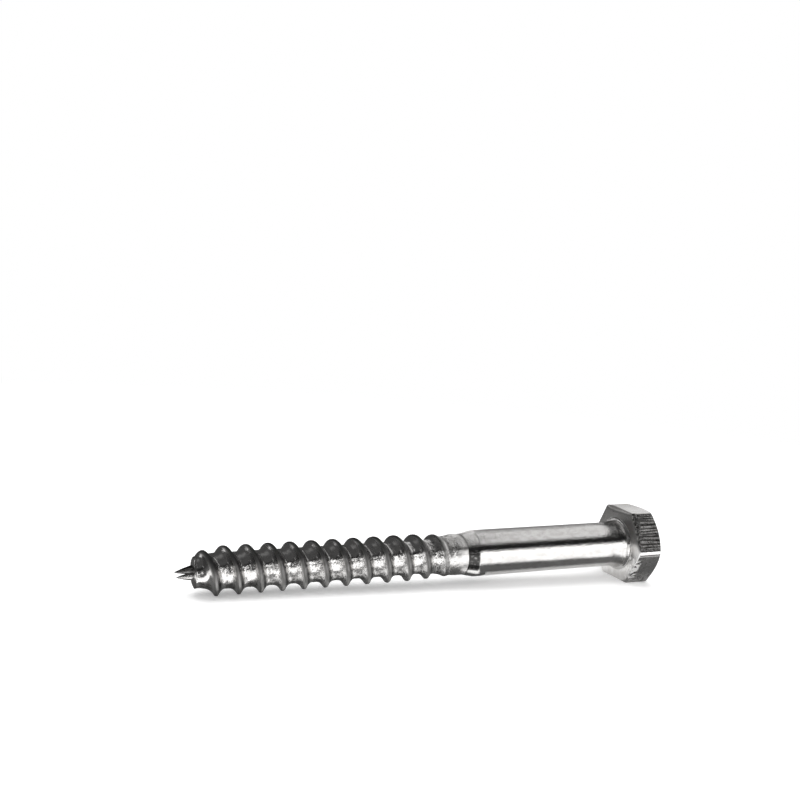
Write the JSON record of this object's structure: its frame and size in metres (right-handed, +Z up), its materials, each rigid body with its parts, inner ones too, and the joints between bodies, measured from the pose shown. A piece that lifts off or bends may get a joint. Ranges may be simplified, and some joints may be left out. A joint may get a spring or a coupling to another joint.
{
  "type": "coach screw",
  "caption": "Hex-head coach screw with a plain shank, a coarse wood thread and a gimlet point, lying at rest on its head and thread.",
  "frame": {"origin": "centre of the bounding box, on the surface that the screw lies on", "axes": "+X from the tip to the head, +Z up from the surface; the screw's own axis lies in the XZ plane and rises 1.98 degrees towards the head"},
  "size_m": [0.0864, 0.015, 0.0132],
  "materials": {
    "zinc_plated_steel": "bright zinc plate, lightly scuffed"
  },
  "bodies": {
    "root": {"coach_screw": "zinc_plated_steel"}
  },
  "joints": []
}
